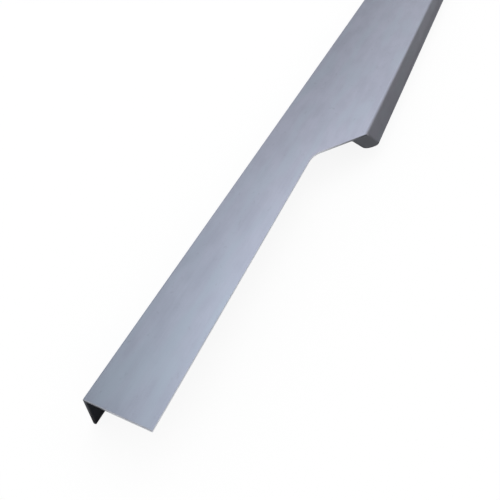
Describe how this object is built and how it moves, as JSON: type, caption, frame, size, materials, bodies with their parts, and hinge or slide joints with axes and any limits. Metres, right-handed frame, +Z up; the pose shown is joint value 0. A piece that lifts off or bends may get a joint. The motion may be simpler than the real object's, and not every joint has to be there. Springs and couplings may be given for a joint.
{
  "type": "edge pull handle",
  "caption": "Long U-shaped aluminium edge pull: thin plate with a screwed rear leg and a forward-leaning grip lip, cut back to narrow tabs at the ends.",
  "frame": {"origin": "middle of the footprint, on the floor that the rear leg stands on", "axes": "+X along the length, -Y towards the grip lip, +Y towards the screwed leg, +Z up through the top plate"},
  "size_m": [0.597, 0.0418, 0.0145],
  "materials": {
    "aluminium": "satin anodised"
  },
  "bodies": {
    "root": {"edge_pull": "aluminium"}
  },
  "joints": []
}
